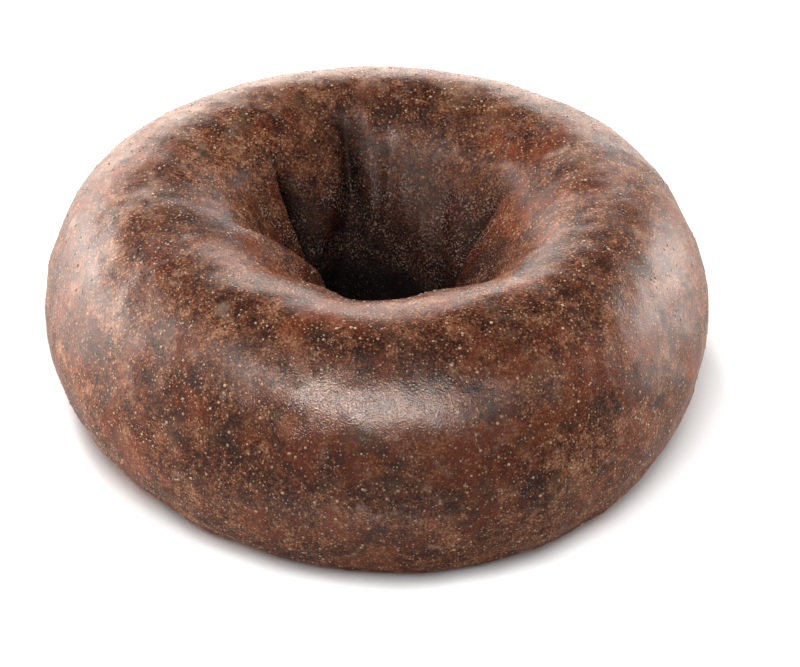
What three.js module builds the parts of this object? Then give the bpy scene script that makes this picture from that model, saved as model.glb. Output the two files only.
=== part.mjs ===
// A pumpernickel bagel: one plump ring of dark dough, boiled and baked, with a pinched hole.
//
// The dough is rolled to a rope, its ends are pressed together and it swells in the oven, so the ring isn't
// round, the hole's lip has lobes, and folds run from the lip down into the hole.
//
// Millimetres, +Z up. The bagel lies on its flat base at z = 0, and the origin is below the middle of its box.
// Angles are in degrees round the ring, anticlockwise from +X as seen from above. The front is towards -Y.

import * as THREE from 'three';
import { ParametricGeometry } from 'three/addons/geometries/ParametricGeometry.js';
import { mergeVertices } from 'three/addons/utils/BufferGeometryUtils.js';

// ---------------------------------------------------------------- driving dimensions

const RING_RADIUS = 54;
const RING_HEIGHT = 42.8;

// The facets: how many degrees apart the columns of the surface lie on average, and its steps round the section.
const COLUMN_SPACING = 3.2;
const SECTION_STEPS = 48;

// The dough's section, from the outside over the crown, down the hole and back along the base. Each point is a
// share of the ring's radius from the axis, and a share of its height. Points below the base are pressed flat.
const SECTION = [
  { name: 'outer_widest', out: 1.0, up: 0.44 },
  { name: 'outer_shoulder', out: 0.935, up: 0.76 },
  { name: 'crown_outer', out: 0.8, up: 0.945 },
  { name: 'crown', out: 0.645, up: 1.0 },
  { name: 'inner_shoulder', out: 0.495, up: 0.925 },
  { name: 'lip', out: 0.365, up: 0.74 },
  { name: 'throat_top', out: 0.262, up: 0.59 },
  { name: 'throat', out: 0.215, up: 0.41 },
  { name: 'throat_foot', out: 0.262, up: 0.11 },
  { name: 'base_inner', out: 0.35, up: -0.012 },
  { name: 'base_middle', out: 0.56, up: -0.03 },
  { name: 'base_outer', out: 0.76, up: -0.012 },
  { name: 'outer_foot', out: 0.925, up: 0.14 },
];

const LIP = SECTION.findIndex((point) => point.name === 'lip');
const THROAT = SECTION.findIndex((point) => point.name === 'throat');
const BASE = SECTION.findIndex((point) => point.name === 'base_inner');

// How far the ring is from round: 1 wave sets the hole off centre, 2 make an oval, 3 a soft triangle.
const OUT_OF_ROUND = [
  { waves: 1, east: -0.002, north: 0.021 },
  { waves: 2, east: 0.009, north: -0.014 },
  { waves: 3, east: -0.011, north: 0.02 },
];

// The out-of-round grows from none at this share of the radius to all of it at the outside.
const ROUND_WITHIN = 0.45;
const FULLY_OUT_OF_ROUND = 0.9;

// The crown is a little higher at some angles. Points above this share of the height rise with it.
const CROWN_WAVES = [
  { waves: 1, rise: 0.012, at: 100 },
  { waves: 2, rise: 0.01, at: -50 },
];
const RISES_ABOVE = 0.2;

// The whole lip stands this far in, and each lobe moves it out, or in where the shift is below zero.
const LIP_SHIFT = -3.4;
const LIP_LOBES = [
  { at: 35, reach: 32, shift: 3.0 },
  { at: 88, reach: 30, shift: 2.4 },
  { at: 128, reach: 26, shift: 3.6 },
  { at: 156, reach: 14, shift: 3.0 },
  { at: 196, reach: 12, shift: -6.0 },
  { at: 216, reach: 12, shift: -0.6 },
  { at: 240, reach: 14, shift: -3.0 },
  { at: 267, reach: 17, shift: 0.8 },
  { at: 291, reach: 11, shift: -1.2 },
  { at: 316, reach: 14, shift: 3.2 },
  { at: 340, reach: 16, shift: 2.6 },
];

const THROAT_LOBES = [
  { at: 92, reach: 42, shift: 3.2 },
  { at: 225, reach: 50, shift: -1.0 },
];

// How much of the lip's and the throat's shift each point of the section takes.
const LIP_SHARE = { crown: 0.15, inner_shoulder: 0.55, lip: 1.0, throat_top: 0.7 };
const THROAT_SHARE = { throat_top: 0.6, throat: 1.0, throat_foot: 0.6 };

// Folds of the pinched dough. Each runs from an angle at the lip to an angle in the throat. Its two flanks are
// on the anticlockwise (left) and the clockwise (right) side, and a steep one is narrow. It starts and ends at
// these places along the section, and is at full depth after its run-in. A crease is sharp, a pleat is round.
const FOLDS = [
  { lip: 29, throat: 12, depth: 3.2, left: 4.5, right: 1.3, from: 4.1, runIn: 1.3, to: 8.8, crease: true },
  { lip: 55, throat: 44, depth: 0.9, left: 2.4, right: 2.4, from: 4.4, runIn: 1.5, to: 8.8, crease: false },
  { lip: 86, throat: 94, depth: 1.0, left: 2.8, right: 2.8, from: 3.9, runIn: 1.5, to: 8.2, crease: false },
  { lip: 103, throat: 112, depth: 4.0, left: 3.4, right: 2.6, from: 3.7, runIn: 1.5, to: 8.4, crease: false },
  { lip: 136, throat: 140, depth: 5.4, left: 1.3, right: 3.6, from: 4.2, runIn: 1.0, to: 8.8, crease: true },
  { lip: 190, throat: 184, depth: 4.2, left: 1.8, right: 4.5, from: 3.8, runIn: 1.1, to: 8.6, crease: true },
  { lip: 250, throat: 243, depth: 1.8, left: 1.5, right: 2.6, from: 4.4, runIn: 1.5, to: 8.8, crease: true },
  { lip: 296, throat: 288, depth: 1.5, left: 2.6, right: 1.5, from: 4.4, runIn: 1.5, to: 8.6, crease: true },
  { lip: 338, throat: 332, depth: 1.8, left: 1.6, right: 2.8, from: 4.4, runIn: 1.5, to: 8.6, crease: true },
];

// A fold leaves its lip angle at the lip, and has its throat angle from this place on.
const FOLD_TURNED_BY = THROAT + 0.5;

// A fold's head is narrow, and its flanks open to their full width over this much of the section.
const FOLD_HEAD_WIDTH = 0.35;
const FOLD_OPENS_OVER = 3.0;
const FOLD_RUN_OUT = 1.2;

// Shallow dents with a level floor, at an angle and a place along the section. Each has flanks like a fold's, and
// a length counted in points of the section.
const DENTS = [{ at: 101, place: 4.1, left: 6.5, right: 2.2, length: 0.6, depth: 1.2 }];

// The step along the section that gives its direction, in points, and how near two corners are to be one, in mm.
const STEP_AHEAD = 0.001;
const SAME_CORNER = 0.001;

const CRUST = { colour: '#4a2c22', roughness: 0.42, metalness: 0 };

// ---------------------------------------------------------------- helpers

const radians = THREE.MathUtils.degToRad;

// The angle from one direction to another, between -180 and 180 degrees.
function turnBetween(from, to) {
  return THREE.MathUtils.euclideanModulo(to - from + 180, 360) - 180;
}

// The sum of the bell-shaped lobes at one angle.
function lobesAt(lobes, angle) {
  let shift = 0;
  for (const lobe of lobes) {
    shift += lobe.shift * Math.exp(-((turnBetween(lobe.at, angle) / lobe.reach) ** 2));
  }
  return shift;
}

// ---------------------------------------------------------------- the dough's surface

// The section's points at one angle round the ring, as distances from the axis and heights.
function sectionPoints(angle) {
  let outOfRound = 0;
  for (const { waves, east, north } of OUT_OF_ROUND) {
    outOfRound += east * Math.cos(waves * radians(angle)) + north * Math.sin(waves * radians(angle));
  }
  let crownRise = 1;
  for (const { waves, rise, at } of CROWN_WAVES) {
    crownRise += rise * Math.cos(waves * radians(angle - at));
  }
  const lipShift = LIP_SHIFT + lobesAt(LIP_LOBES, angle);
  const throatShift = lobesAt(THROAT_LOBES, angle);
  return SECTION.map(({ name, out, up }) => {
    const share = THREE.MathUtils.smoothstep(out, ROUND_WITHIN, FULLY_OUT_OF_ROUND);
    const distance = RING_RADIUS * out * (1 + share * outOfRound);
    const pinch = lipShift * (LIP_SHARE[name] ?? 0) + throatShift * (THROAT_SHARE[name] ?? 0);
    const height = RING_HEIGHT * up * (up > RISES_ABOVE ? crownRise : 1);
    return new THREE.Vector2(distance + pinch, height);
  });
}

// The closed curve through the section's points, at a place counted in points from the outside.
function onSection(points, place) {
  const first = Math.floor(place);
  const [before, start, end, after] = [-1, 0, 1, 2].map((step) => {
    return points[THREE.MathUtils.euclideanModulo(first + step, points.length)];
  });
  const t = place - first;
  const blend = (a, b, c, d) => {
    return 0.5 * (2 * b + (c - a) * t + (2 * a - 5 * b + 4 * c - d) * t ** 2 + (3 * b - a - 3 * c + d) * t ** 3);
  };
  return new THREE.Vector2(
    blend(before.x, start.x, end.x, after.x),
    blend(before.y, start.y, end.y, after.y),
  );
}

// How deep the folds and dents cut in at one angle, one place along the section and one distance from the axis.
function foldDepth(angle, place, distance) {
  const towardsThroat = THREE.MathUtils.smoothstep(place, LIP, FOLD_TURNED_BY);
  let depth = 0;
  for (const fold of FOLDS) {
    const line = fold.lip + (fold.throat - fold.lip) * towardsThroat;
    const across = radians(turnBetween(line, angle)) * distance;
    const opening = THREE.MathUtils.smoothstep(place, fold.from, fold.from + FOLD_OPENS_OVER);
    const flank = (across > 0 ? fold.left : fold.right) * THREE.MathUtils.lerp(FOLD_HEAD_WIDTH, 1, opening);
    const runIn = THREE.MathUtils.smoothstep(place, fold.from, fold.from + fold.runIn);
    const runOut = 1 - THREE.MathUtils.smoothstep(place, fold.to - FOLD_RUN_OUT, fold.to);
    const profile = Math.exp(-((Math.abs(across) / flank) ** (fold.crease ? 1 : 2)));
    depth += fold.depth * runIn * runOut * profile;
  }
  for (const dent of DENTS) {
    const across = radians(turnBetween(dent.at, angle)) * distance;
    const flank = across > 0 ? dent.left : dent.right;
    depth += dent.depth * Math.exp(-((across / flank) ** 4) - ((place - dent.place) / dent.length) ** 2);
  }
  return depth;
}

// The columns of the surface. One runs down the valley of each fold and drifts with it from the lip to the throat.
// The rest share the gap to the next fold, closer together beside the folds.
function surfaceColumns() {
  const columns = [];
  FOLDS.forEach((fold, index) => {
    const next = FOLDS[(index + 1) % FOLDS.length];
    const gap = THREE.MathUtils.euclideanModulo(next.lip - fold.lip, 360);
    const count = Math.round(gap / COLUMN_SPACING);
    for (let step = 0; step < count; step += 1) {
      const even = step / count;
      const share = even - Math.sin(2 * Math.PI * even) / (4 * Math.PI);
      columns.push({
        angle: fold.lip + gap * share,
        drift: THREE.MathUtils.lerp(fold.throat - fold.lip, next.throat - next.lip, share),
      });
    }
  });
  return columns;
}

const COLUMNS = surfaceColumns();

// The surface: u runs once round the ring from column to column, and v once round the section.
function doughSurface(u, v, target) {
  const column = COLUMNS[Math.round(u * COLUMNS.length) % COLUMNS.length];
  const place = SECTION.length * (v % 1);
  const intoThroat = THREE.MathUtils.smoothstep(place, LIP, FOLD_TURNED_BY);
  const ontoBase = THREE.MathUtils.smoothstep(place, FOLD_TURNED_BY, BASE + 1);
  const angle = column.angle + column.drift * (intoThroat - ontoBase);
  const spot = onSection(sectionPoints(angle), place);
  const ahead = onSection(sectionPoints(angle), place + STEP_AHEAD);
  const along = ahead.sub(spot).normalize();
  const depth = foldDepth(angle, place, spot.x);
  const distance = spot.x - along.y * depth;
  const height = Math.max(spot.y + along.x * depth, 0);
  target.set(distance * Math.cos(radians(angle)), distance * Math.sin(radians(angle)), height);
}

// ---------------------------------------------------------------- the bagel

function makeBagel() {
  const surface = new ParametricGeometry(doughSurface, COLUMNS.length, SECTION_STEPS);
  surface.deleteAttribute('normal');
  surface.deleteAttribute('uv');
  const geometry = mergeVertices(surface, SAME_CORNER);
  geometry.computeVertexNormals();
  geometry.computeBoundingBox();
  const middle = geometry.boundingBox.getCenter(new THREE.Vector3());
  geometry.translate(-middle.x, -middle.y, 0);
  const crust = new THREE.MeshStandardMaterial({
    color: CRUST.colour,
    roughness: CRUST.roughness,
    metalness: CRUST.metalness,
  });
  const mesh = new THREE.Mesh(geometry, crust);
  mesh.name = 'bagel';
  return mesh;
}

const bagel = new THREE.Group();
bagel.add(makeBagel());

export default bagel;
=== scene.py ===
# %% [markdown]
# # A pumpernickel bagel
# This lesson dresses one bagel of dark rye dough. The CAD solid holds its true form with few facets. The script
# repeats that form with a fine mesh, adds the crust's wrinkles and blisters, gives it a baked crust as material
# and sets up a small photo studio. Everything is in metres, in the same frame as the CAD solid.

# %% Load the CAD solid as a fixed frame
import math

import bmesh
import bpy
import numpy as np
from mathutils import Matrix, Vector, noise


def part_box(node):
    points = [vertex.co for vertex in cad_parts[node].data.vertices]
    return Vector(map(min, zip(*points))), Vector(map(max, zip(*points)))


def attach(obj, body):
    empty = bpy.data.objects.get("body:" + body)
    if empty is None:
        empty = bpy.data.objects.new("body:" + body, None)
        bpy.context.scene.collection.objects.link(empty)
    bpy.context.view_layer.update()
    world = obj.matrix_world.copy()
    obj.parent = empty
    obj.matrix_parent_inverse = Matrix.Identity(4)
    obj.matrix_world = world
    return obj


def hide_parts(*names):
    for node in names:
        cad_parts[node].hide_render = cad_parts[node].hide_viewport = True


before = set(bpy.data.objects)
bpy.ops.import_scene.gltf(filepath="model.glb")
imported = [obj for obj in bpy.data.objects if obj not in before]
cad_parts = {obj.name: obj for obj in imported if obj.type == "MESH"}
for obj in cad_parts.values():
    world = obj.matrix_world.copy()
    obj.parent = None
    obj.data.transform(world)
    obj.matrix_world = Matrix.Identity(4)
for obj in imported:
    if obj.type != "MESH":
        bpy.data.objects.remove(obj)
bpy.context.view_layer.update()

NODE = "bagel"
BODY = "root"
MM = 0.001

low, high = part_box(NODE)


def in_mm(lengths):
    """Lengths in millimetres, to a tenth, to be printed."""
    return [round(float(length) / MM, 1) for length in lengths]


print("CAD box in mm:", in_mm(high - low))

# %% [markdown]
# ## The dough's section
# A bagel starts as a rope of dough whose ends are pressed together, so its section isn't a circle. It is flat
# below, domed above and steep inside. The section could be drawn as a curve object, but a formula can also let
# it change round the ring. So it is a list of named points, the same as in the CAD source, and each is a share of
# the ring's radius from the axis and a share of its height. Points below the base are pressed flat.

# %% The dough's section
RING_RADIUS = 54 * MM
RING_HEIGHT = 42.8 * MM

SECTION = {
    "outer_widest": (1.0, 0.44),
    "outer_shoulder": (0.935, 0.76),
    "crown_outer": (0.8, 0.945),
    "crown": (0.645, 1.0),
    "inner_shoulder": (0.495, 0.925),
    "lip": (0.365, 0.74),
    "throat_top": (0.262, 0.59),
    "throat": (0.215, 0.41),
    "throat_foot": (0.262, 0.11),
    "base_inner": (0.35, -0.012),
    "base_middle": (0.56, -0.03),
    "base_outer": (0.76, -0.012),
    "outer_foot": (0.925, 0.14),
}
POINTS = list(SECTION)
CROWN = POINTS.index("crown")
LIP = POINTS.index("lip")
THROAT = POINTS.index("throat")
BASE = POINTS.index("base_inner")
SECTION_END = len(SECTION)
print("section:", SECTION_END, "points, with the lip at place", LIP, "and the base from place", BASE)

# %% [markdown]
# ## Not quite round
# Dough proves unevenly, so the outline is a soft triangle, the hole is off centre and the crown rises and falls.
# A lattice could bend a round ring, but three slow waves say it in one line. They grow towards the outside, so
# that they leave the hole alone.

# %% Waves round the ring
# Waves per turn, with their share of the radius towards east (+X) and north (+Y).
OUT_OF_ROUND = [(1, -0.002, 0.021), (2, 0.009, -0.014), (3, -0.011, 0.02)]
ROUND_WITHIN = 0.45
FULLY_OUT_OF_ROUND = 0.9

# Waves per turn, with their share of the height and the angle of their top in degrees. Points above this share
# of the height rise with them.
CROWN_WAVES = [(1, 0.012, 100), (2, 0.01, -50)]
RISES_ABOVE = 0.2

EVERY_DEGREE = np.arange(360.0)


def out_of_round(angle):
    """How much wider the outside is at each angle, as a share of the radius."""
    turn = np.radians(angle)
    return sum(e * np.cos(waves * turn) + n * np.sin(waves * turn) for waves, e, n in OUT_OF_ROUND)


def crown_rise(angle):
    """How high the crown is at each angle, as a share of the ring's height."""
    return 1 + sum(rise * np.cos(waves * np.radians(angle - at)) for waves, rise, at in CROWN_WAVES)


outsides = RING_RADIUS * (1 + out_of_round(EVERY_DEGREE))
print("from the axis to the outside in mm:", in_mm([outsides.min(), outsides.max()]))

# %% [markdown]
# ## The pinched lip and throat
# The hole is pressed open and then closes unevenly as the dough swells, so its lip has lobes. Some lean over the
# hole and some stand back. A sculpting brush could pull them, but bell-shaped waves with an angle, a reach and a
# shift can be moved one at a time, and they keep the lip smooth.

# %% Lobes of the lip and the throat
# Angle and reach in degrees, and shift outwards in mm. The whole lip stands in by LIP_SHIFT.
LIP_SHIFT = -3.4
LIP_LOBES = [
    (35, 32, 3.0), (88, 30, 2.4), (128, 26, 3.6), (156, 14, 3.0), (196, 12, -6.0), (216, 12, -0.6),
    (240, 14, -3.0), (267, 17, 0.8), (291, 11, -1.2), (316, 14, 3.2), (340, 16, 2.6),
]
THROAT_LOBES = [(92, 42, 3.2), (225, 50, -1.0)]

# How much of each shift a point of the section takes.
LIP_SHARE = {"crown": 0.15, "inner_shoulder": 0.55, "lip": 1.0, "throat_top": 0.7}
THROAT_SHARE = {"throat_top": 0.6, "throat": 1.0, "throat_foot": 0.6}


def turn_between(start, end):
    """The turn from one angle to another, between -180 and 180 degrees."""
    return (end - start + 180) % 360 - 180


def lobes_at(lobes, angle):
    """The sum of the lobes' shifts at each angle."""
    return sum(shift * MM * np.exp(-((turn_between(at, angle) / reach) ** 2)) for at, reach, shift in lobes)


lips = RING_RADIUS * SECTION["lip"][0] + LIP_SHIFT * MM + lobes_at(LIP_LOBES, EVERY_DEGREE)
print("from the axis to the lip in mm:", in_mm([lips.min(), lips.max()]))

# %% [markdown]
# ## The section at every angle
# Between the section's points the skin is taut and smooth. Straight lines would show corners, and a drawn curve
# would need handles. A cubic curve that runs through its points needs nothing else. The functions take whole
# arrays, because the fine mesh has about a hundred thousand corners: `angle` goes round the ring in degrees, and
# `place` goes round the section, counted in its points.

# %% The section at every angle


def smoothstep(start, end, value):
    """A soft step from 0 at the start to 1 at the end."""
    share = np.clip((value - start) / (end - start), 0, 1)
    return share * share * (3 - 2 * share)


def section_points(angle):
    """The section's points at each angle, as distances from the axis and heights."""
    wider = out_of_round(angle)
    higher = crown_rise(angle)
    lip_shift = LIP_SHIFT * MM + lobes_at(LIP_LOBES, angle)
    throat_shift = lobes_at(THROAT_LOBES, angle)
    points = []
    for name, (out, up) in SECTION.items():
        share = smoothstep(ROUND_WITHIN, FULLY_OUT_OF_ROUND, out)
        pinch = lip_shift * LIP_SHARE.get(name, 0) + throat_shift * THROAT_SHARE.get(name, 0)
        distance = RING_RADIUS * out * (1 + share * wider) + pinch
        height = RING_HEIGHT * up * (higher if up > RISES_ABOVE else np.ones_like(angle))
        points.append(np.stack([distance, height], axis=1))
    return np.stack(points, axis=1)


def on_section(points, place):
    """The closed cubic curve through each section's points."""
    first = np.floor(place).astype(int)
    t = (place - first)[:, None]
    rows = np.arange(len(place))
    a, b, c, d = (points[rows, (first + step) % SECTION_END] for step in (-1, 0, 1, 2))
    return 0.5 * (2 * b + (c - a) * t + (2 * a - 5 * b + 4 * c - d) * t**2 + (3 * b - a - 3 * c + d) * t**3)


crown_line = on_section(section_points(EVERY_DEGREE), np.full(len(EVERY_DEGREE), float(CROWN)))
print("height of the crown in mm:", in_mm([crown_line[:, 1].min(), crown_line[:, 1].max()]))

# %% [markdown]
# ## Folds and dents
# Where the dough is tucked into the hole it folds. A crease is sharp, because two skins meet in it, and a pleat
# is round, because the skin only gathers. A knife cut and a bevel could make them, but a fold leans to one side
# and fades out at both ends. A depth that goes by a spot's distance from the fold's line can do both. A dent is
# a short fold with a level floor.

# %% Folds and dents
# Angle at the lip and in the throat, depth in mm, width in mm of the left and the right flank, start, run-in and
# end along the section, and whether it is a crease.
FOLDS = [
    (29, 12, 3.2, 4.5, 1.3, 4.1, 1.3, 8.8, True),
    (55, 44, 0.9, 2.4, 2.4, 4.4, 1.5, 8.8, False),
    (86, 94, 1.0, 2.8, 2.8, 3.9, 1.5, 8.2, False),
    (103, 112, 4.0, 3.4, 2.6, 3.7, 1.5, 8.4, False),
    (136, 140, 5.4, 1.3, 3.6, 4.2, 1.0, 8.8, True),
    (190, 184, 4.2, 1.8, 4.5, 3.8, 1.1, 8.6, True),
    (250, 243, 1.8, 1.5, 2.6, 4.4, 1.5, 8.8, True),
    (296, 288, 1.5, 2.6, 1.5, 4.4, 1.5, 8.6, True),
    (338, 332, 1.8, 1.6, 2.8, 4.4, 1.5, 8.6, True),
]
# A fold has its throat angle from this place on. Its head is narrow, it opens over this much of the section, and
# it fades out over the last stretch.
FOLD_TURNED_BY = THROAT + 0.5
FOLD_HEAD_WIDTH = 0.35
FOLD_OPENS_OVER = 3.0
FOLD_RUN_OUT = 1.2

# Angle, place, width in mm of the left and the right flank, length along the section, and depth in mm.
DENTS = [(101, 4.1, 6.5, 2.2, 0.6, 1.2)]


def fold_depth(angle, place, distance):
    """How deep the folds and dents cut in, in metres."""
    towards_throat = smoothstep(LIP, FOLD_TURNED_BY, place)
    depth = np.zeros_like(angle)
    for lip, throat, deep, left, right, start, run_in, end, crease in FOLDS:
        line = lip + (throat - lip) * towards_throat
        across = np.radians(turn_between(line, angle)) * distance
        opening = FOLD_HEAD_WIDTH + (1 - FOLD_HEAD_WIDTH) * smoothstep(start, start + FOLD_OPENS_OVER, place)
        flank = np.where(across > 0, left, right) * MM * opening
        reach = smoothstep(start, start + run_in, place) * (1 - smoothstep(end - FOLD_RUN_OUT, end, place))
        depth += deep * MM * reach * np.exp(-((np.abs(across) / flank) ** (1 if crease else 2)))
    for at, middle, left, right, length, deep in DENTS:
        across = np.radians(turn_between(at, angle)) * distance
        flank = np.where(across > 0, left, right) * MM
        depth += deep * MM * np.exp(-((across / flank) ** 4) - ((place - middle) / length) ** 2)
    return depth


print("folds:", len(FOLDS), "of which", sum(fold[-1] for fold in FOLDS), "are creases; dents:", len(DENTS))

# %% [markdown]
# ## The dough's surface
# Folds push the skin inwards, at right angles to it. They could be cut straight down, but then they would vanish
# on the steep wall of the hole. So the curve's own direction gives the way in. Whatever sinks below the board
# is pressed flat on it, as soft dough is.

# %% The dough's surface
STEP_AHEAD = 0.001


def dough_surface(angle, place):
    """Points on the dough, and how deep the folds are there."""
    points = section_points(angle)
    spot = on_section(points, place)
    along = on_section(points, place + STEP_AHEAD) - spot
    along /= np.linalg.norm(along, axis=1, keepdims=True)
    depth = fold_depth(angle, place, spot[:, 0])
    distance = spot[:, 0] - along[:, 1] * depth
    height = np.maximum(spot[:, 1] + along[:, 0] * depth, 0)
    turn = np.radians(angle)
    return np.stack([distance * np.cos(turn), distance * np.sin(turn), height], axis=1), depth


_, throat_depth = dough_surface(EVERY_DEGREE, np.full(len(EVERY_DEGREE), float(THROAT)))
print("deepest fold in the throat in mm:", in_mm([throat_depth.max()]))

# %% [markdown]
# ## The fine ring
# The rope's ends are joined, so the ring has no seam. A torus primitive would do for it, but a spin shows how
# one comes about: a standing circle turns once round the axis, and the last copy is merged with the first. A
# spin of many steps is slow, so a coarse ring is spun and its edges are then cut, which fills it with small even
# faces. The normals are recalculated, because a spin can turn a shape inside out.

# %% Spin a plain ring
RING_COLUMNS = 480
SECTION_STEPS = 204
CUTS = 3
PLAIN_RADIUS = 35 * MM
PLAIN_THICKNESS = 20 * MM

ring_bm = bmesh.new()
upright = Matrix.Translation((PLAIN_RADIUS, 0, 0)) @ Matrix.Rotation(math.pi / 2, 4, "X")
bmesh.ops.create_circle(ring_bm, segments=SECTION_STEPS // (CUTS + 1), radius=PLAIN_THICKNESS, matrix=upright)
bmesh.ops.spin(
    ring_bm,
    geom=ring_bm.verts[:] + ring_bm.edges[:],
    cent=(0, 0, 0),
    axis=(0, 0, 1),
    angle=2 * math.pi,
    steps=RING_COLUMNS // (CUTS + 1),
    use_merge=True,
)
bmesh.ops.subdivide_edges(ring_bm, edges=ring_bm.edges[:], cuts=CUTS, use_grid_fill=True)
bmesh.ops.recalc_face_normals(ring_bm, faces=ring_bm.faces[:])
print("plain ring:", len(ring_bm.verts), "corners,", len(ring_bm.faces), "faces")

# %% [markdown]
# ## The order of the faces
# Blisters rise at random, but the bagel should look the same each time that the script runs. A spin hands its
# faces back in an order that changes from run to run, and a random scatter goes by that order. The scatter could
# be seeded by place, but sorting the corners and faces once, column by column, settles it for every later step.

# %% Put the corners and faces in order


def number_on_ring(spot):
    """A number for each spot, column by column. The corners have even shares of it and the faces odd ones."""
    turn = math.atan2(spot.y, spot.x) / (2 * math.pi) * RING_COLUMNS
    roll = math.atan2(spot.z, math.hypot(spot.x, spot.y) - PLAIN_RADIUS) / (2 * math.pi) * SECTION_STEPS
    return round(2 * turn) % (2 * RING_COLUMNS) * 2 * SECTION_STEPS + round(2 * roll) % (2 * SECTION_STEPS)


ring_bm.verts.sort(key=lambda corner: number_on_ring(corner.co))
ring_bm.faces.sort(key=lambda face: number_on_ring(face.calc_center_median()))
print("the first corner in mm:", in_mm(next(iter(ring_bm.verts)).co))

# %% [markdown]
# ## Columns down the folds
# A crease in dough is one clean line. Evenly spaced columns would cross it and turn it to a saw edge. So one
# column of corners runs down the valley of each fold, like the seam of a sleeve, and the others share the gap to
# the next fold, closer together beside the folds.

# %% Columns that follow the folds


def dough_columns():
    """The angle at the lip of each column, and how far it drifts towards the throat."""
    angles, drifts = [], []
    starts = [fold[0] for fold in FOLDS] + [FOLDS[0][0] + 360]
    turned = [fold[1] - fold[0] for fold in FOLDS] + [FOLDS[0][1] - FOLDS[0][0]]
    ends = np.round((np.array(starts) - starts[0]) / 360 * RING_COLUMNS).astype(int)
    for i in range(len(FOLDS)):
        even = np.linspace(0, 1, ends[i + 1] - ends[i], endpoint=False)
        share = even - np.sin(2 * np.pi * even) / (4 * np.pi)
        angles.append(starts[i] + (starts[i + 1] - starts[i]) * share)
        drifts.append(turned[i] + (turned[i + 1] - turned[i]) * share)
    return np.concatenate(angles), np.concatenate(drifts)


column_angle, column_drift = dough_columns()
gaps = np.diff(column_angle)
print("columns:", len(column_angle), "which lie", gaps.min().round(2), "to", gaps.max().round(2), "degrees apart")

# %% [markdown]
# ## From the plain ring to the dough
# Now the even ring takes the dough's form. A shrinkwrap modifier could pull it onto the CAD solid, but it would
# take over the solid's facets. The formula has none. Each corner knows its column and its step round the
# section, and so its angle and place on the dough. The ring's middle is set on the middle of the solid's box.

# %% Find each corner's place on the dough
plain = np.array([corner.co for corner in ring_bm.verts])
plain_out = np.hypot(plain[:, 0], plain[:, 1]) - PLAIN_RADIUS
plain_turn = np.degrees(np.arctan2(plain[:, 1], plain[:, 0])) / 360
plain_roll = np.degrees(np.arctan2(plain[:, 2], plain_out)) / 360
column = np.round(plain_turn * RING_COLUMNS).astype(int) % RING_COLUMNS
step = np.round(plain_roll * SECTION_STEPS).astype(int) % SECTION_STEPS
place = step / SECTION_STEPS * SECTION_END
drift = smoothstep(LIP, FOLD_TURNED_BY, place) - smoothstep(FOLD_TURNED_BY, BASE + 1, place)
angle = column_angle[column] + column_drift[column] * drift

dough, depth = dough_surface(angle, place)
ring_middle = ((low + high) / 2 - Vector((dough.min(0) + dough.max(0)) / 2)) * Vector((1, 1, 0))
dough += np.array(ring_middle)
print("the ring's axis in mm:", [round(side / MM, 2) for side in ring_middle[:2]])

# %% Shape the ring
for corner, spot in zip(ring_bm.verts, dough):
    corner.co = spot
for face in ring_bm.faces:
    face.smooth = True
crust_mesh = bpy.data.meshes.new("crust")
ring_bm.to_mesh(crust_mesh)
ring_bm.free()
outward = np.array([normal.vector for normal in crust_mesh.vertex_normals])
print("smooth dough in mm:", in_mm(dough.max(0) - dough.min(0)))

# %% [markdown]
# ## Lumps
# Proving and baking leave wide swells, lumps of a few millimetres and small pimples. A displace modifier could
# push them out, but moving each corner along its normal by layered noise needs no texture and keeps the base flat.

# %% Lumps
# Width and height.
LUMPS = [(15 * MM, 0.34 * MM), (6 * MM, 0.24 * MM), (2.4 * MM, 0.08 * MM)]


def noise_at(spots):
    """Smooth noise from about -1 to 1 at each spot."""
    return np.array([noise.noise(spot) for spot in spots])


relief = sum(noise_at(dough / width) * height for width, height in LUMPS)
print("lumps in mm:", in_mm([relief.min(), relief.max()]))

# %% [markdown]
# ## Pleats down the hole
# The skin that is drawn into the hole gathers in soft pleats that run downwards. They could be more folds, but
# there are too many to place. So the noise is stretched: it changes quickly round the hole and slowly down it.

# %% Pleats down the hole
HOLE_FROM = LIP - 1.2
HOLE_BY = LIP + 0.7
# Width in radians round the hole, length in places along the section, and height.
PLEATS = [(0.34, 2.2, 0.75 * MM), (0.15, 1.0, 0.22 * MM), (0.07, 0.4, 0.08 * MM)]

above_base = 1 - smoothstep(BASE, BASE + 1, place)
in_hole = smoothstep(HOLE_FROM, HOLE_BY, place) * above_base
lip_turn = np.radians(column_angle[column])
for width, length, height in PLEATS:
    stretched = np.stack([np.cos(lip_turn) / width, np.sin(lip_turn) / width, place / length], axis=1)
    relief += noise_at(stretched) * height * in_hole
print("relief in the hole in mm:", in_mm([relief[in_hole > 0].min(), relief[in_hole > 0].max()]))

# %% [markdown]
# ## Wrinkles at the foot
# The foot dries on the baking board while the crown still swells, so its skin creases into low wrinkles that run
# round the ring. They could be cut one by one, but they are all alike. The zero lines of a noise that is
# stretched along the ring, turned to ridges, are as thin and long as real wrinkles.

# %% Wrinkles at the foot
WRINKLE_LENGTH = 16 * MM
WRINKLE_WIDTH = 1.9 * MM
WRINKLE_HEIGHT = 0.45 * MM
RIDGE_SHARPNESS = 2.5
# The wrinkles fade in from outside these places to inside them.
FOOT_FROM = SECTION_END - 2.2
FOOT_TO = SECTION_END - 0.6
FADE_OUTSIDE = 0.5
FADE_INSIDE = 0.3

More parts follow.
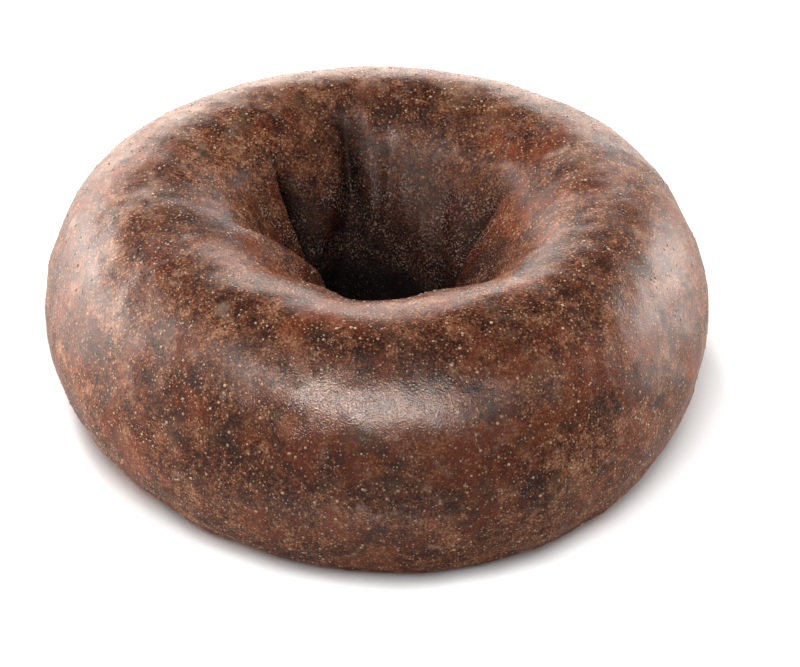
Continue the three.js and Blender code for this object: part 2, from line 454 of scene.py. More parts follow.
foot_starts = smoothstep(FOOT_FROM - FADE_OUTSIDE, FOOT_FROM + FADE_INSIDE, place)
foot_ends = 1 - smoothstep(FOOT_TO - FADE_INSIDE, FOOT_TO + FADE_OUTSIDE, place)
foot = foot_starts * foot_ends
along_ring = dough * np.array([1 / WRINKLE_LENGTH, 1 / WRINKLE_LENGTH, 1 / WRINKLE_WIDTH])
ridge = 1 - np.abs(noise_at(along_ring)) * RIDGE_SHARPNESS
relief += foot * np.clip(ridge, 0, 1) * WRINKLE_HEIGHT
print("corners with wrinkles:", int((foot > 0).sum()))

# %% [markdown]
# ## The crust
# The baked skin is all of this relief together. Each layer could be pushed out in turn, but then it would start
# from lumpy normals, so all go on in one move. The base lay on a board, so it keeps its flat face.

# %% Move the corners and make the crust
BASE_FLAT_FROM = BASE - 0.6
BASE_FLAT_TO = SECTION_END - 1.6
BASE_ENDS = SECTION_END - 1.1

on_base = smoothstep(BASE_FLAT_FROM, BASE, place) * (1 - smoothstep(BASE_FLAT_TO, BASE_ENDS, place))
dough += outward * (relief * (1 - on_base))[:, None]
dough[:, 2] = np.maximum(dough[:, 2], 0)
crust_mesh.vertices.foreach_set("co", dough.ravel())
crust_mesh.update()
crust = bpy.data.objects.new("crust", crust_mesh)
bpy.context.scene.collection.objects.link(crust)
print("relief in mm:", round(relief.min() / MM, 2), "to", round(relief.max() / MM, 2))

# %% [markdown]
# ## Marks in the hole and the folds
# The crust gets painted shade down the hole and in the folds, and only the free skin shines. These places could
# be painted by hand, but the place of each corner and the depth of its fold are known. So each mark is a number
# on every corner, which the material reads as an attribute.

# %% Mark the hole, the folds and the shine
# The throat mark and the fold mark, which is full at FOLD_DARK, set where painted shade darkens the colour.
THROAT_FROM = THROAT - 0.25
THROAT_BY = THROAT + 0.2
FOLD_SHOWS = 0.2 * MM
FOLD_DULL = 1.6 * MM
FOLD_DARK = 2.6 * MM
SHINE = 0.75
SHINE_FADES = LIP - 1.2
SHINE_GONE = LIP - 0.4
LOST_IN_HOLE = 0.9


def mark(name, value):
    """Writes one number on every corner of the crust."""
    crust_mesh.attributes.new(name, "FLOAT", "POINT").data.foreach_set("value", value)
    print("mark", name, "from", value.min().round(2), "to", value.max().round(2))


mark("in_hole", in_hole)
mark("throat", smoothstep(THROAT_FROM, THROAT_BY, place) * above_base)
mark("fold", smoothstep(FOLD_SHOWS, FOLD_DARK, depth))
wall = smoothstep(SHINE_FADES, SHINE_GONE, place) * (place < BASE)
mark("shine", SHINE * (1 - LOST_IN_HOLE * wall) * (1 - smoothstep(FOLD_SHOWS, FOLD_DULL, depth)))

# %% [markdown]
# ## Marks on the crown and the shoulder
# At the back the crown is paler: partly dry starch blooms over it, and partly it is a painted sheen and painted
# light from the back. The front shoulder bakes to rust. A painted mask could hold these places, but each is a soft
# spot with a middle and a reach, so bell curves are enough. A last mark unrolls the hole: it says how far round
# and how far down a corner lies, so that streaks can run down the wall.

# %% Mark the bloom with its painted sheen, the rust and the way down
# The bloom_and_sheen mark is partly dry starch and partly a painted sheen and painted light at the back.
BLOOM_AND_SHEEN_ANGLE = 105
BLOOM_AND_SHEEN_REACH = 66
BLOOM_AND_SHEEN_PLACE = 2.1
BLOOM_AND_SHEEN_LENGTH = 1.1
RUST_ANGLE = 272
RUST_REACH = 48
RUST_PLACE = 0.85
RUST_LENGTH = 0.35
# The unrolled hole: its radius, and the length of one place along the section.
UNROLLED_RADIUS = 20 * MM
UNROLLED_PLACE = 9 * MM

at_back = np.exp(-((turn_between(BLOOM_AND_SHEEN_ANGLE, angle) / BLOOM_AND_SHEEN_REACH) ** 2))
mark("bloom_and_sheen", at_back * np.exp(-(((place - BLOOM_AND_SHEEN_PLACE) / BLOOM_AND_SHEEN_LENGTH) ** 2)))
at_front = np.exp(-((turn_between(RUST_ANGLE, angle) / RUST_REACH) ** 2))
mark("rust", at_front * np.exp(-(((place - RUST_PLACE) / RUST_LENGTH) ** 2)))
round_hole = [np.cos(lip_turn) * UNROLLED_RADIUS, np.sin(lip_turn) * UNROLLED_RADIUS]
unrolled = np.stack([*round_hole, place * UNROLLED_PLACE], axis=1)
crust_mesh.attributes.new("unrolled", "FLOAT_VECTOR", "POINT").data.foreach_set("vector", unrolled.ravel())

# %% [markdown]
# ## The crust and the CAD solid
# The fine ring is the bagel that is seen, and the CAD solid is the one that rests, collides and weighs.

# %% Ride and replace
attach(crust, BODY)
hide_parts(NODE)
print("crust:", len(crust_mesh.polygons), "faces")

# %% [markdown]
# ## Two helpers
# Colours are picked as sRGB hex values, as on a colour card, but light adds up in linear values, so one function
# turns them. The materials and the scatter are node trees. They could be drawn in the editor, but a function that
# adds one node with its settings and links keeps each step to a few lines.

# %% Helpers for materials


def from_hex(colour):
    """An sRGB hex colour as linear red, green, blue and alpha."""
    channels = [int(colour[i : i + 2], 16) / 255 for i in (1, 3, 5)]
    return [c / 12.92 if c <= 0.04045 else ((c + 0.055) / 1.055) ** 2.4 for c in channels] + [1]


def add_node(tree, kind, inputs=None, **settings):
    """Adds a node, with its settings, and links or sets its inputs."""
    node = tree.nodes.new(kind)
    for name, value in settings.items():
        setattr(node, name, value)
    for name, value in (inputs or {}).items():
        if isinstance(value, bpy.types.NodeSocket):
            tree.links.new(value, node.inputs[name])
        else:
            node.inputs[name].default_value = value
    return node


print("a middle grey, #808080, is", round(from_hex("#808080")[0], 3), "in linear light")

# %% [markdown]
# ## The baked crust
# Rye dough is boiled, which sets a thin clear skin of starch on it, and then baked. To the eye that is a dark
# brown that is never even, from coarse clouds to single grains of bran, under a satin sheen. One noise with many
# octaves could carry them all, but its octaves can't be weighed one by one. So four noises of different sizes
# add up to one shade.

# %% Clouds and grains of shade
crust_material = bpy.data.materials.new("baked rye crust")
crust_material.use_nodes = True
tree = crust_material.node_tree
shader = tree.nodes["Principled BSDF"]
spot = add_node(tree, "ShaderNodeTexCoord").outputs["Object"]

MARKS = ("in_hole", "throat", "bloom_and_sheen", "rust", "shine")
marks = {name: add_node(tree, "ShaderNodeAttribute", attribute_name=name).outputs["Fac"] for name in MARKS}

# Size in mm, octaves and weight of each noise. Grains of bran are finer than 0.4 mm, but that is as coarse as
# they need to be to show. The fourth dimension keeps the noises apart.
SHADES = [(9.0, 3, 0.18), (3.0, 2, 0.22), (1.2, 2, 0.2), (0.4, 1, 0.36)]
SHADE_APART = 3.1
SHADE_ROUGHNESS = 0.6
shade = 0.5 - sum(weight for _, _, weight in SHADES) / 2
for number, (size, octaves, weight) in enumerate(SHADES):
    settings = {"W": number * SHADE_APART, "Scale": 1 / (size * MM), "Detail": octaves}
    settings |= {"Vector": spot, "Roughness": SHADE_ROUGHNESS}
    layer = add_node(tree, "ShaderNodeTexNoise", settings, noise_dimensions="4D").outputs["Fac"]
    inputs = {0: layer, 1: weight, 2: shade}
    shade = add_node(tree, "ShaderNodeMath", inputs, operation="MULTIPLY_ADD").outputs[0]
print("shade:", len(SHADES), "noises of", [size for size, _, _ in SHADES], "mm")

# %% [markdown]
# ### Browns
# Where the crust is dark it is a saturated red-brown, and where it is light it is a greyer tan. On the finest
# grain these greyer light tones stand in for tiny glints of the skin, so they are partly a painted highlight.
# Mixing two browns would miss that turn in colour. A ramp through five browns follows it.

# %% Browns along the shade
# The greyer light browns are partly a painted highlight of the skin's glints.
BROWNS = [(0.4, "#240c04"), (0.45, "#3e1709"), (0.5, "#66361c"), (0.55, "#8d583a"), (0.6, "#b58462")]
ramp = add_node(tree, "ShaderNodeValToRGB", {"Fac": shade})
ramp.color_ramp.elements[0].position, ramp.color_ramp.elements[1].position = BROWNS[0][0], BROWNS[-1][0]
for position, _ in BROWNS[1:-1]:
    ramp.color_ramp.elements.new(position)
for element, (_, tone) in zip(ramp.color_ramp.elements, BROWNS):
    element.color = from_hex(tone)
colour = ramp.outputs["Color"]
print("browns:", [tone for _, tone in BROWNS])

# %% [markdown]
# ### Patches
# Sugar and malt brown unevenly. Rust, umber and soot-brown patches lie over the browns, with small orange grains
# of bran between them, and starch from the boil dries to dusty ones. The front shoulder bakes to rust, and the
# back is paler and greyer, partly from dust and partly as a painted sheen. One noise could pick the colour of
# every patch, but then patches would never overlap as real ones do, so each colour is a layer with a noise of its
# own, and a mark can gather it.

# %% Patches
# Colour, size in mm, octaves, where it starts and is full in the noise, how strongly it covers, and the mark that
# gathers it with how far.
PATCHES = [
    ("#88380d", 9.0, 3, 0.5, 0.64, 0.75, "rust", 0.16),
    ("#3f1a0c", 7.0, 3, 0.52, 0.64, 0.7, "rust", -0.04),
    ("#1e120a", 4.0, 4, 0.56, 0.62, 1.1, "rust", 0.03),
    ("#b85a1e", 1.6, 2, 0.66, 0.74, 0.9, "rust", 0.05),
    # The two pale patches gathered at the back are partly dust and partly a painted sheen.
    ("#a68364", 6.0, 3, 0.55, 0.74, 0.45, "bloom_and_sheen", 0.1),
    ("#c9aa95", 5.0, 4, 0.58, 0.8, 1.0, "bloom_and_sheen", 0.21),
]
PATCH_APART = 7.3
PATCH_ROUGHNESS = 0.65
# The rest of a patch's colour is the brown below, so that it keeps some of the shade's light and dark.
PATCH_OWN_COLOUR = 0.6
for number, (patch, size, octaves, start, full, cover, gathers, shift) in enumerate(PATCHES, start=1):
    settings = {"W": number * PATCH_APART, "Scale": 1 / (size * MM), "Detail": octaves}
    settings |= {"Vector": spot, "Roughness": PATCH_ROUGHNESS}
    cloud = add_node(tree, "ShaderNodeTexNoise", settings, noise_dimensions="4D").outputs["Fac"]
    inputs = {0: marks[gathers], 1: shift, 2: cloud}
    cloud = add_node(tree, "ShaderNodeMath", inputs, operation="MULTIPLY_ADD").outputs[0]
    inputs = {"Value": cloud, "From Min": start, "From Max": full, "To Max": cover}
    covered = add_node(tree, "ShaderNodeMapRange", inputs).outputs["Result"]
    inputs = {0: PATCH_OWN_COLOUR, 6: colour, 7: from_hex(patch)}
    tinted = add_node(tree, "ShaderNodeMix", inputs, data_type="RGBA").outputs[2]
    inputs = {0: covered, 6: colour, 7: tinted}
    colour = add_node(tree, "ShaderNodeMix", inputs, data_type="RGBA").outputs[2]
print("patches:", [patch for patch, *_ in PATCHES])

# %% [markdown]
# ### Pale specks
# Bran and dried starch leave cream specks, most of them finer than a grain of salt. They could be modelled as the
# blisters are, but they lie flat in the skin. So each cell of a cell texture has one, and the cell's random
# number sets its size: most stay faint and a few stand out.

# %% Pale specks
# The real specks lie closer than this, but finer ones wouldn't show. The radius is a share of the spacing.
SPECK_SPACING = 0.5 * MM
SPECK_RADIUS = 0.4
SPECK_FEWER_LARGE = 1.8
SPECK_IN_MIDDLE = 1.6
SPECK_COVERS = 0.8
specks = add_node(tree, "ShaderNodeTexVoronoi", {"Vector": spot, "Scale": 1 / SPECK_SPACING})
chance = add_node(tree, "ShaderNodeSeparateColor", {"Color": specks.outputs["Color"]}).outputs["Red"]
few = add_node(tree, "ShaderNodeMath", {0: chance, 1: SPECK_FEWER_LARGE}, operation="POWER").outputs[0]
edge = add_node(tree, "ShaderNodeMath", {0: few, 1: SPECK_RADIUS}, operation="MULTIPLY").outputs[0]
inputs = {"Value": specks.outputs["Distance"], "From Min": 0.0, "From Max": edge}
inputs |= {"To Min": SPECK_IN_MIDDLE, "To Max": 0.0}
speck = add_node(tree, "ShaderNodeMapRange", inputs).outputs["Result"]
speck = add_node(tree, "ShaderNodeMath", {0: speck, 1: SPECK_COVERS}, operation="MINIMUM").outputs[0]
print("specks:", round((MM / SPECK_SPACING) ** 2), "cells on each square mm")

# %% [markdown]
# ### Painted shade where hidden
# Deep in the hole and the folds the crust is nearly black, because little light gets in. More bounces of light
# wouldn't show that, so three marks multiply the colour: this darkening is painted shade. The blisters use the
# same function, because they sit in the same shade. A speck stands out of the dough, so it goes on afterwards,
# and in the hole it gets a duller cream, which is painted shade too.

# %% Painted shade in the hole and the folds
# The shares of red, green and blue that each mark leaves, as painted shade.
PAINTED_SHADE = [("in_hole", (0.58, 0.43, 0.38, 1)), ("fold", (0.32, 0.23, 0.2, 1)), ("throat", (0.14, 0.09, 0.07, 1))]
SPECK_TONE = "#dfbe97"
# In the hole a speck gets this duller cream, which is painted shade.
SHADED_SPECK_TONE = "#8a6a52"


def paint_shade_where_hidden(tree, colour):
    """Paints shade: multiplies the colour where the dough is hidden from the light."""
    for name, tone in PAINTED_SHADE:
        hidden = add_node(tree, "ShaderNodeAttribute", attribute_name=name).outputs["Fac"]
        inputs = {0: hidden, 6: colour, 7: tone}
        colour = add_node(tree, "ShaderNodeMix", inputs, data_type="RGBA", blend_type="MULTIPLY").outputs[2]
    return colour


colour = paint_shade_where_hidden(tree, colour)
inputs = {0: marks["in_hole"], 6: from_hex(SPECK_TONE), 7: from_hex(SHADED_SPECK_TONE)}
speck_tone = add_node(tree, "ShaderNodeMix", inputs, data_type="RGBA").outputs[2]
inputs = {0: speck, 6: colour, 7: speck_tone}
colour = add_node(tree, "ShaderNodeMix", inputs, data_type="RGBA").outputs[2]
print("darkened by the marks", [name for name, _ in PAINTED_SHADE])

# %% [markdown]
# ### Painted glints in the hole
# The rough, pinched walls of the hole glint in the dark. The glints are painted into the colour as pale flecks,
# a painted highlight. They are finer than a picture of the whole bagel can show, so they are drawn about a
# third of a millimetre wide. A noise cut off near its top gives them ragged rims, which round cells wouldn't,
# and a wide noise gathers them.

# %% Painted glints in the hole
# The flecks below are a painted highlight where the wall glints.
GLINT_SIZE = 0.32 * MM
GLINT_STARTS, GLINT_FULL = 0.6, 0.68
GLINT_PATCH = 4.5 * MM
PATCH_STARTS, PATCH_FULL = 0.42, 0.6
STRAY_GLINTS = 0.1
PAINTED_GLINT_TONE = "#c4ab9a"
glint_noise = add_node(tree, "ShaderNodeTexNoise", {"Vector": spot, "Scale": 1 / GLINT_SIZE, "Detail": 0})
inputs = {"Value": glint_noise.outputs["Fac"], "From Min": GLINT_STARTS, "From Max": GLINT_FULL}
painted_glint = add_node(tree, "ShaderNodeMapRange", inputs).outputs["Result"]
wide = add_node(tree, "ShaderNodeTexNoise", {"Vector": spot, "Scale": 1 / GLINT_PATCH, "Detail": 2})
inputs = {"Value": wide.outputs["Fac"], "From Min": PATCH_STARTS, "From Max": PATCH_FULL}
inputs["To Min"] = STRAY_GLINTS
gathered = add_node(tree, "ShaderNodeMapRange", inputs).outputs["Result"]
inputs = {0: marks["in_hole"], 1: marks["throat"]}
above_throat = add_node(tree, "ShaderNodeMath", inputs, operation="SUBTRACT").outputs[0]
for factor in (gathered, above_throat):
    painted_glint = add_node(tree, "ShaderNodeMath", {0: painted_glint, 1: factor}, operation="MULTIPLY").outputs[0]
inputs = {0: painted_glint, 6: colour, 7: from_hex(PAINTED_GLINT_TONE)}
colour = add_node(tree, "ShaderNodeMix", inputs, data_type="RGBA").outputs[2]
tree.links.new(colour, shader.inputs["Base Color"])
print("the crust's colour is made of", len(tree.nodes), "nodes")

# %% [markdown]
# ### Satin gloss
# Boiling turns the outer starch to a thin clear skin that bakes to a satin gloss. It is whole on the ring, broken
# in the hole and missing in the folds. Roughness alone could dull those parts, but rough gloss looks like grey
# haze. So the skin is a clear coat whose weight follows the shine mark, over a base that hardly shines.

# %% Satin gloss
# The IOR of solid starch is 1.5. The baked skin is full of air, so its gloss is weaker, and the bare crust under
# it hardly shines.
SKIN_IOR = 1.35
SKIN_ROUGHNESS = 0.24
BARE_SPECULAR = 0.06
# Pale crust is dustier, so it is rougher: the shade's dark and light, and the roughness of each.
DARK_SHADE, LIGHT_SHADE = 0.42, 0.58
DARK_ROUGHNESS, LIGHT_ROUGHNESS = 0.55, 0.8
tree.links.new(marks["shine"], shader.inputs["Coat Weight"])
shader.inputs["Coat Roughness"].default_value = SKIN_ROUGHNESS
shader.inputs["Coat IOR"].default_value = SKIN_IOR
inputs = {"Value": shade, "From Min": DARK_SHADE, "From Max": LIGHT_SHADE}
inputs |= {"To Min": DARK_ROUGHNESS, "To Max": LIGHT_ROUGHNESS}
roughness = add_node(tree, "ShaderNodeMapRange", inputs).outputs["Result"]
tree.links.new(roughness, shader.inputs["Roughness"])
shader.inputs["Specular IOR Level"].default_value = BARE_SPECULAR
print("skin: IOR", SKIN_IOR, "and roughness", SKIN_ROUGHNESS)

# %% [markdown]
# ### Grain and pores
# Under the gloss the skin has a grain with pores in it, and the finest grain breaks the highlight into glints.
# Displacement could model them, but at a fraction of a millimetre they change no outline, so bump carries them.
# Each relief is a height and how deep it goes, and they are gathered in a list first.

# %% Grain and pores
# Width in mm, height in mm and octaves. The real finest grain and the pores are a tenth of a millimetre wide or
# less. They are drawn two to three times as coarse, so that they show.
GRAINS = [(2.6, 0.05, 2), (0.8, 0.014, 2), (0.24, 0.06, 1)]
GRAIN_ROUGHNESS = 0.55
PORE_SPACING = 0.3 * MM
PORE_DEPTH = 0.02 * MM

reliefs = []
for width, height, octaves in GRAINS:
    settings = {"Scale": 1 / (width * MM), "Detail": octaves, "Roughness": GRAIN_ROUGHNESS}
    grain = add_node(tree, "ShaderNodeTexNoise", {"Vector": spot} | settings)
    reliefs.append((grain.outputs["Fac"], height * MM))
pores = add_node(tree, "ShaderNodeTexVoronoi", {"Vector": spot, "Scale": 1 / PORE_SPACING})
reliefs.append((pores.outputs["Distance"], PORE_DEPTH))
print("reliefs of grain and pores:", len(reliefs))

# %% [markdown]
# ### Streaks and grit in the hole
# The wall of the hole was stretched when the dough was shaped, so it has streaks down it, with grit between them.
# Noise on the object's own coordinates would run straight across the folds. The unrolled hole follows them, so
# the streaks read that mark, stretched down the wall.

# %% Streaks and grit in the hole
STREAK_WIDTH = 1.3 * MM
STREAK_STRETCH = (1, 1, 0.4)
STREAK_HEIGHT = 0.2 * MM
GRIT_WIDTH = 0.45 * MM
GRIT_HEIGHT = 0.22 * MM
unrolled = add_node(tree, "ShaderNodeAttribute", attribute_name="unrolled").outputs["Vector"]
down = add_node(tree, "ShaderNodeVectorMath", {0: unrolled, 1: STREAK_STRETCH}, operation="MULTIPLY").outputs[0]
streaks = add_node(tree, "ShaderNodeTexNoise", {"Vector": down, "Scale": 1 / STREAK_WIDTH, "Detail": 3})
grit = add_node(tree, "ShaderNodeTexNoise", {"Vector": spot, "Scale": 1 / GRIT_WIDTH, "Detail": 1})
for pattern, height in [(streaks, STREAK_HEIGHT), (grit, GRIT_HEIGHT)]:
    inputs = {0: pattern.outputs["Fac"], 1: marks["in_hole"]}
    in_hole_only = add_node(tree, "ShaderNodeMath", inputs, operation="MULTIPLY").outputs[0]
    reliefs.append((in_hole_only, height))
print("reliefs with those in the hole:", len(reliefs))

# %% [markdown]
# ### One bump from all reliefs
# The skin has all of these at once. Their heights could be added up, but each has a depth of its own, so every
# bump starts from the normal of the one before. The clear skin follows the same relief as the crust.

# %% One bump from all reliefs
inputs = {}
for relief_height, deep in reliefs:
    inputs |= {"Height": relief_height, "Distance": deep, "Strength": 1.0}
    inputs["Normal"] = add_node(tree, "ShaderNodeBump", inputs).outputs["Normal"]
tree.links.new(inputs["Normal"], shader.inputs["Normal"])
tree.links.new(inputs["Normal"], shader.inputs["Coat Normal"])
crust_mesh.materials.append(crust_material)
print("baked rye crust:", len(tree.nodes), "nodes")

# %% [markdown]
# ## Blisters
# Steam lifts the skin into thousands of tiny blisters, most of them smaller than a pinhead. Each one could be a
# bump in the material, but a bump has no rim, so they are small domes. Their skin is the crust's own, lifted and
# dried: to the eye a paler, smoother dot with a light of its own. One colour for all would look painted on, so
# each has a tone between a brown and a cream.

# %% The blister's material
BLISTER_BROWN = "#8c6149"
BLISTER_CREAM = "#dabb98"
BLISTER_GLOSS = {"Roughness": 0.32, "IOR": SKIN_IOR, "Coat Weight": 0.5}
BLISTER_GLOSS |= {"Coat Roughness": SKIN_ROUGHNESS, "Coat IOR": SKIN_IOR}
blister_material = bpy.data.materials.new("dried blister skin")
blister_material.use_nodes = True
tree = blister_material.node_tree
shader = tree.nodes["Principled BSDF"]
tone = add_node(tree, "ShaderNodeAttribute", attribute_name="tone").outputs["Fac"]
inputs = {0: tone, 6: from_hex(BLISTER_BROWN), 7: from_hex(BLISTER_CREAM)}
layer = add_node(tree, "ShaderNodeMix", inputs, data_type="RGBA").outputs[2]
# The blisters get the same painted shade in the hole and the folds.
tree.links.new(paint_shade_where_hidden(tree, layer), shader.inputs["Base Color"])
for name, value in BLISTER_GLOSS.items():
    shader.inputs[name].default_value = value
print("dried blister skin:", len(tree.nodes), "nodes")

# %% [markdown]
# ### Where blisters crowd
# Blisters come in clusters, with fewer in the throat and none at the foot, which lay on the board. A particle
# system could scatter them, but geometry nodes can work out their number per square millimetre from the place: a
# noise makes the clusters, the height clears the foot and a mark thins the throat.

# %% Where blisters crowd
BLISTERS_PER_SQUARE_MM = 0.36
CLUSTER_SIZE = 6 * MM
CLUSTER_NOISE = {"From Min": 0.35, "From Max": 0.65}
CLUSTER_CROWD = {"To Min": 0.25, "To Max": 1.75}
NO_BLISTERS_BELOW = 1.5 * MM
ALL_BLISTERS_ABOVE = 4 * MM
KEPT_OFF_THROAT = 0.5

scatter = bpy.data.node_groups.new("blisters", "GeometryNodeTree")
scatter.interface.new_socket("Geometry", in_out="INPUT", socket_type="NodeSocketGeometry")
scatter.interface.new_socket("Geometry", in_out="OUTPUT", socket_type="NodeSocketGeometry")
skin = add_node(scatter, "NodeGroupInput").outputs[0]
position = add_node(scatter, "GeometryNodeInputPosition").outputs[0]
inputs = {"Vector": position, "Scale": 1 / CLUSTER_SIZE, "Detail": 2}
clusters = add_node(scatter, "ShaderNodeTexNoise", inputs).outputs["Fac"]
inputs = {"Value": clusters} | CLUSTER_NOISE | CLUSTER_CROWD
density = add_node(scatter, "ShaderNodeMapRange", inputs).outputs["Result"]
height = add_node(scatter, "ShaderNodeSeparateXYZ", {"Vector": position}).outputs["Z"]
inputs = {"Value": height, "From Min": NO_BLISTERS_BELOW, "From Max": ALL_BLISTERS_ABOVE}
above_foot = add_node(scatter, "ShaderNodeMapRange", inputs).outputs["Result"]
throat = add_node(scatter, "GeometryNodeInputNamedAttribute", {"Name": "throat"}).outputs["Attribute"]
inputs = {0: throat, 1: -KEPT_OFF_THROAT, 2: 1.0}
off_throat = add_node(scatter, "ShaderNodeMath", inputs, operation="MULTIPLY_ADD").outputs[0]
for factor in (above_foot, off_throat, BLISTERS_PER_SQUARE_MM / MM**2):
    density = add_node(scatter, "ShaderNodeMath", {0: density, 1: factor}, operation="MULTIPLY").outputs[0]
print("blisters on a square centimetre:", round(BLISTERS_PER_SQUARE_MM * 100))

# %% [markdown]
# ### A spot, a tone and a size for each
# Most blisters are tiny and a few are large. A plain random size would make as many large ones as small ones, so
# the number is raised to a power first. The tone is stored on the spot, where the material finds it again. Each
# random number has a fixed seed.

# %% A spot, a tone and a size for each
SPOT_SEED = 3
TONE_SEED = 5
SIZE_SEED = 11
FEWER_LARGE = 3.0
SMALLEST_RADIUS = 0.08 * MM
LARGEST_RADIUS = 0.3 * MM
DOME_SHAPE = (1, 1, 0.5)

inputs = {"Mesh": skin, "Density": density, "Seed": SPOT_SEED}
spread = add_node(scatter, "GeometryNodeDistributePointsOnFaces", inputs)
random_tone = add_node(scatter, "FunctionNodeRandomValue", {"Min": 0.0, "Max": 1.0, "Seed": TONE_SEED})
inputs = {"Geometry": spread.outputs["Points"], "Name": "tone", "Value": random_tone.outputs[1]}
toned = add_node(scatter, "GeometryNodeStoreNamedAttribute", inputs, domain="POINT").outputs["Geometry"]
random_size = add_node(scatter, "FunctionNodeRandomValue", {"Min": 0.0, "Max": 1.0, "Seed": SIZE_SEED})
inputs = {0: random_size.outputs[1], 1: FEWER_LARGE}
skewed = add_node(scatter, "ShaderNodeMath", inputs, operation="POWER").outputs[0]
inputs = {"Value": skewed, "To Min": SMALLEST_RADIUS, "To Max": LARGEST_RADIUS}
radius = add_node(scatter, "ShaderNodeMapRange", inputs).outputs["Result"]
flat = add_node(scatter, "ShaderNodeVectorMath", {0: radius, 1: DOME_SHAPE}, operation="MULTIPLY").outputs[0]
print("blister radius in mm:", SMALLEST_RADIUS / MM, "to", LARGEST_RADIUS / MM)

# %% [markdown]
# ### A dome on each spot
# A blister is a low dome whose rim sinks into the skin. A UV sphere would spend most of its faces on its poles,
# so an icosphere of twenty faces, which are enough at this size, is set on every spot, turned to the skin and
# pressed flat. Half of it is below the skin. The export needs real faces, so the instances are realized.

# %% A dome on each spot
DOME_FACES = 20
dome = add_node(scatter, "GeometryNodeMeshIcoSphere", {"Radius": 1.0, "Subdivisions": 1}).outputs["Mesh"]
inputs = {"Points": toned, "Instance": dome, "Rotation": spread.outputs["Rotation"], "Scale": flat}
placed = add_node(scatter, "GeometryNodeInstanceOnPoints", inputs).outputs["Instances"]
real = add_node(scatter, "GeometryNodeRealizeInstances", {"Geometry": placed}).outputs["Geometry"]
smooth = add_node(scatter, "GeometryNodeSetShadeSmooth", {"Geometry": real}).outputs["Geometry"]
inputs = {"Geometry": smooth, "Material": blister_material}
skinned = add_node(scatter, "GeometryNodeSetMaterial", inputs).outputs["Geometry"]
add_node(scatter, "NodeGroupOutput", {0: skinned})
print("scatter:", len(scatter.nodes), "nodes")

# %% [markdown]
# ### One mesh of blisters
# The blisters have a skin and a piece of their own. The scatter could stay a live modifier on the crust, but then
# both would be one piece. So a carrier takes the crust's mesh through it once, and only the result is kept.

# %% Make the blisters one mesh
carrier = bpy.data.objects.new("carrier", crust_mesh)
bpy.context.scene.collection.objects.link(carrier)
carrier.modifiers.new("scatter", "NODES").node_group = scatter
scattered = carrier.evaluated_get(bpy.context.evaluated_depsgraph_get())
blister_mesh = bpy.data.meshes.new_from_object(scattered)
bpy.data.objects.remove(carrier)
blisters = bpy.data.objects.new("blisters", blister_mesh)
bpy.context.scene.collection.objects.link(blisters)
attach(blisters, BODY)
blister_faces = len(blister_mesh.polygons)
print("blisters:", blister_faces // DOME_FACES, "with", blister_faces, "faces")

# %% [markdown]
# ## The table and the paper
# The bagel stands on a pale table, whose light comes back up under its foot. One floor could be both table and
# backdrop, but one that is lit until it looks white would flood the foot with light. So there are two sheets: the
# table gives the bounce and the reflections, and only the paper, with softboxes of its own, meets the camera.
# Lacquer is smooth and throws light back like a dull mirror. Uncoated paper is matt and looks the same all over.

# %% The table and the paper
FLOOR_SIZE = 3
# Both lie just below the bagel, so that no two faces share a plane.
TABLE_LEVEL = -0.2 * MM
PAPER_LEVEL = -0.1 * MM
LACQUER_ROUGHNESS = 0.15
PAPER_ROUGHNESS = 0.9
TABLE_WHITE = "#e6e4e2"
PAPER_WHITE = "#f2f2f2"


def add_floor(name, stuff, height, colour, roughness):
    """A square floor of one material."""
    floor_bm = bmesh.new()
    level = Matrix.Translation((0, 0, height))
    bmesh.ops.create_grid(floor_bm, x_segments=1, y_segments=1, size=FLOOR_SIZE, matrix=level)
    floor_mesh = bpy.data.meshes.new(name)
    floor_bm.to_mesh(floor_mesh)
    floor_bm.free()
    material = bpy.data.materials.new(stuff)
    material.use_nodes = True
    shader = material.node_tree.nodes["Principled BSDF"]
    shader.inputs["Base Color"].default_value = from_hex(colour)
    shader.inputs["Roughness"].default_value = roughness
    floor_mesh.materials.append(material)
    floor = bpy.data.objects.new(name, floor_mesh)
    bpy.context.scene.collection.objects.link(floor)
    print(name, "of", stuff, "at", round(height / MM, 1), "mm")
    return floor


table = add_floor("table", "white lacquered board", TABLE_LEVEL, TABLE_WHITE, LACQUER_ROUGHNESS)
table.visible_camera = False
paper = add_floor("paper", "matt white paper", PAPER_LEVEL, PAPER_WHITE, PAPER_ROUGHNESS)
paper.visible_diffuse = False
paper.visible_glossy = False
paper.visible_shadow = False

# %% [markdown]
# ## The studio's room
# A white room gives a little light from all sides. It could light the bagel alone, but only flatly, so it stays
# dim and the softboxes do the work. The colours are shown as they are.

# %% The studio's room
ROOM_LIGHT = 0.14
world = bpy.data.worlds.new("studio")
world.use_nodes = True
world.node_tree.nodes["Background"].inputs["Color"].default_value = (1, 1, 1, 1)
world.node_tree.nodes["Background"].inputs["Strength"].default_value = ROOM_LIGHT
bpy.context.scene.world = world
bpy.context.scene.view_settings.view_transform = "Standard"
print("room light:", ROOM_LIGHT)

# %% [markdown]
# ## The studio's softboxes
# Low softboxes at the sides draw the broad pale sheens, one behind lights the crown's rim, and one overhead fills
# in. Narrow strips in front draw the long highlight on the crown. Glowing panels could do the same, but area
# lights are cleaner, and each can be kept to what it should light. The strips give only gloss, the overhead
# softbox only diffuse light, and the paper has two softboxes of its own.

# %% What each softbox lights
bagel_and_table = bpy.data.collections.new("bagel and table")
paper_only = bpy.data.collections.new("paper only")
for lit in (crust, blisters, table):
    bagel_and_table.objects.link(lit)
paper_only.objects.link(paper)

# %% The studio's softboxes
AIM = Vector((0, 0, 0.02))
WARM = (1.0, 0.93, 0.88)
WHITE = (1.0, 1.0, 1.0)
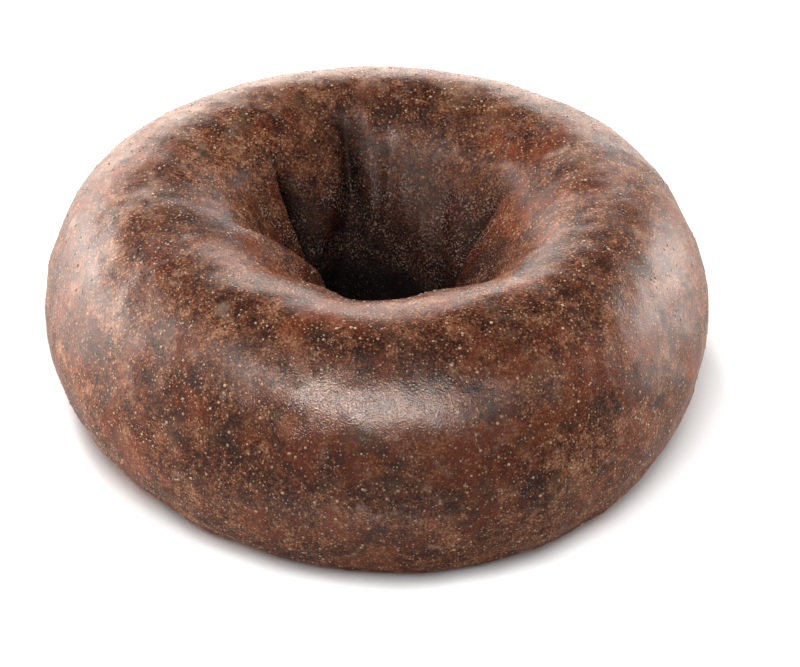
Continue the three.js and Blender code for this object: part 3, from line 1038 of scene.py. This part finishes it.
# Azimuth and elevation in degrees, distance, width and height in metres, and power in watts.
SOFTBOXES = {
    "left softbox": (157, 13, 0.85, 0.8, 0.34, 12, WARM, bagel_and_table),
    "right softbox": (28, 10, 0.85, 0.65, 0.34, 7.8, WARM, bagel_and_table),
    "back softbox": (98, 13, 0.85, 1.0, 0.3, 5.2, WARM, bagel_and_table),
    "overhead softbox": (90, 82, 0.85, 0.8, 0.8, 3.9, WARM, bagel_and_table),
    "front strip": (-102, 42, 0.85, 0.8, 0.12, 22, WARM, bagel_and_table),
    "front glow": (-95, 41, 0.85, 1.7, 0.12, 2.5, WARM, bagel_and_table),
    "front left strip": (-150, 43, 0.85, 0.6, 0.12, 3.6, WARM, bagel_and_table),
    "front right strip": (-42, 33, 0.85, 0.5, 0.12, 1.0, WARM, bagel_and_table),
    "front paper softbox": (-90, 52, 1.1, 0.5, 0.6, 18, WHITE, paper_only),
    "back paper softbox": (135, 65, 1.1, 0.3, 0.3, 7, WHITE, paper_only),
}


def studio_place(azimuth, elevation, distance):
    """A place seen from the middle of the floor, with angles in degrees and the distance in metres."""
    level = distance * math.cos(math.radians(elevation))
    turn = math.radians(azimuth)
    return (level * math.cos(turn), level * math.sin(turn), distance * math.sin(math.radians(elevation)))


for name, (azimuth, elevation, distance, width, height, power, tint, lit) in SOFTBOXES.items():
    light = bpy.data.lights.new(name, "AREA")
    light.shape = "RECTANGLE"
    light.size = width
    light.size_y = height
    light.energy = power
    light.color = tint
    softbox = bpy.data.objects.new(name, light)
    softbox.location = studio_place(azimuth, elevation, distance)
    softbox.rotation_euler = (AIM - softbox.location).to_track_quat("-Z", "Y").to_euler()
    softbox.light_linking.receiver_collection = lit
    softbox.visible_diffuse = not name.startswith("front") or lit == paper_only
    softbox.visible_glossy = name != "overhead softbox"
    bpy.context.scene.collection.objects.link(softbox)
print("softboxes:", len(SOFTBOXES))

# %% [markdown]
# ## The camera
# The bagel is seen from the front and from about 35 degrees above. That tilt, the distance and the lens could be
# set by eye, but they were fitted to the outline of the bagel, because its height and its hole depend on them.

# %% The camera
CAMERA_TILT = math.radians(35.05)
CAMERA_DISTANCE = 596 * MM
LOOK_AT = Vector((3.12, -7.39, 20.77)) * MM
SENSOR_WIDTH = 36
LENS = 165.2
towards_camera = Vector((0, -math.cos(CAMERA_TILT), math.sin(CAMERA_TILT)))
camera_data = bpy.data.cameras.new("camera")
camera_data.sensor_width = SENSOR_WIDTH
camera_data.lens = LENS
camera = bpy.data.objects.new("camera", camera_data)
camera.location = ring_middle + LOOK_AT + towards_camera * CAMERA_DISTANCE
camera.rotation_euler = towards_camera.to_track_quat("Z", "Y").to_euler()
bpy.context.scene.collection.objects.link(camera)
bpy.context.scene.camera = camera
print("camera at", in_mm(camera.location), "mm")
